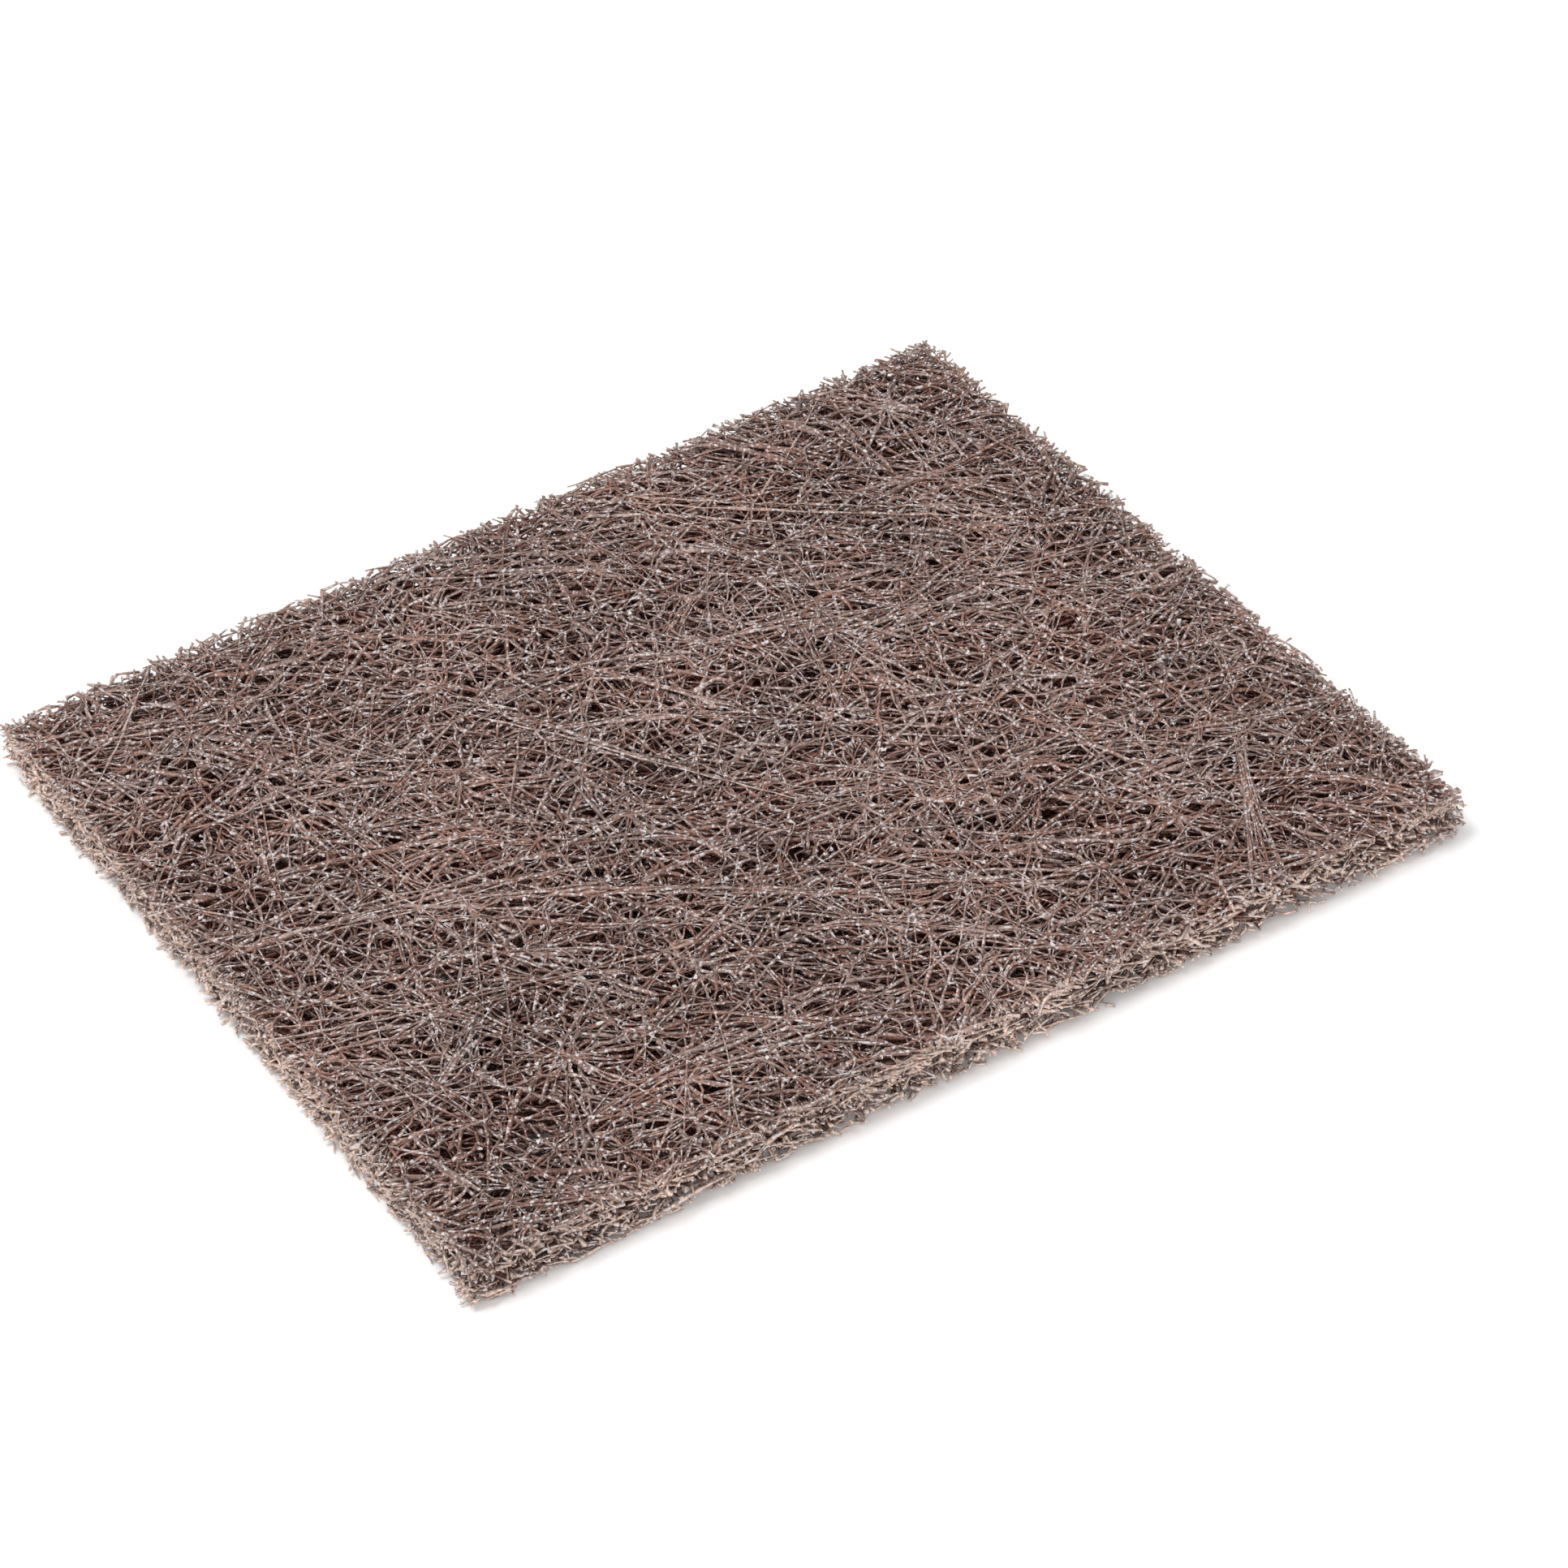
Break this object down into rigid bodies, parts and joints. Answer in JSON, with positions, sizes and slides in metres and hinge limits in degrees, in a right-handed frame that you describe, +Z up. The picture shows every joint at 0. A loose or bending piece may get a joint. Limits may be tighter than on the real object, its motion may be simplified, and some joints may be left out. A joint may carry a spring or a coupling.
{
  "type": "nylon scouring pad",
  "caption": "Flat rectangular hand pad for scouring: one open web of coarse nylon fibres bonded by resin with abrasive grain, with ragged cut edges.",
  "frame": {"origin": "centre of the underside, on the surface that the pad lies on", "axes": "+X along the longer cut edges, +Y along the shorter ones, +Z up through the thickness"},
  "size_m": [0.12, 0.1, 0.006],
  "materials": {
    "coated_nylon": "matt taupe-brown coated fibres with pale glints of grain, cream where the fibre is cut"
  },
  "bodies": {
    "root": {"scouring_pad": "coated_nylon"}
  },
  "joints": []
}
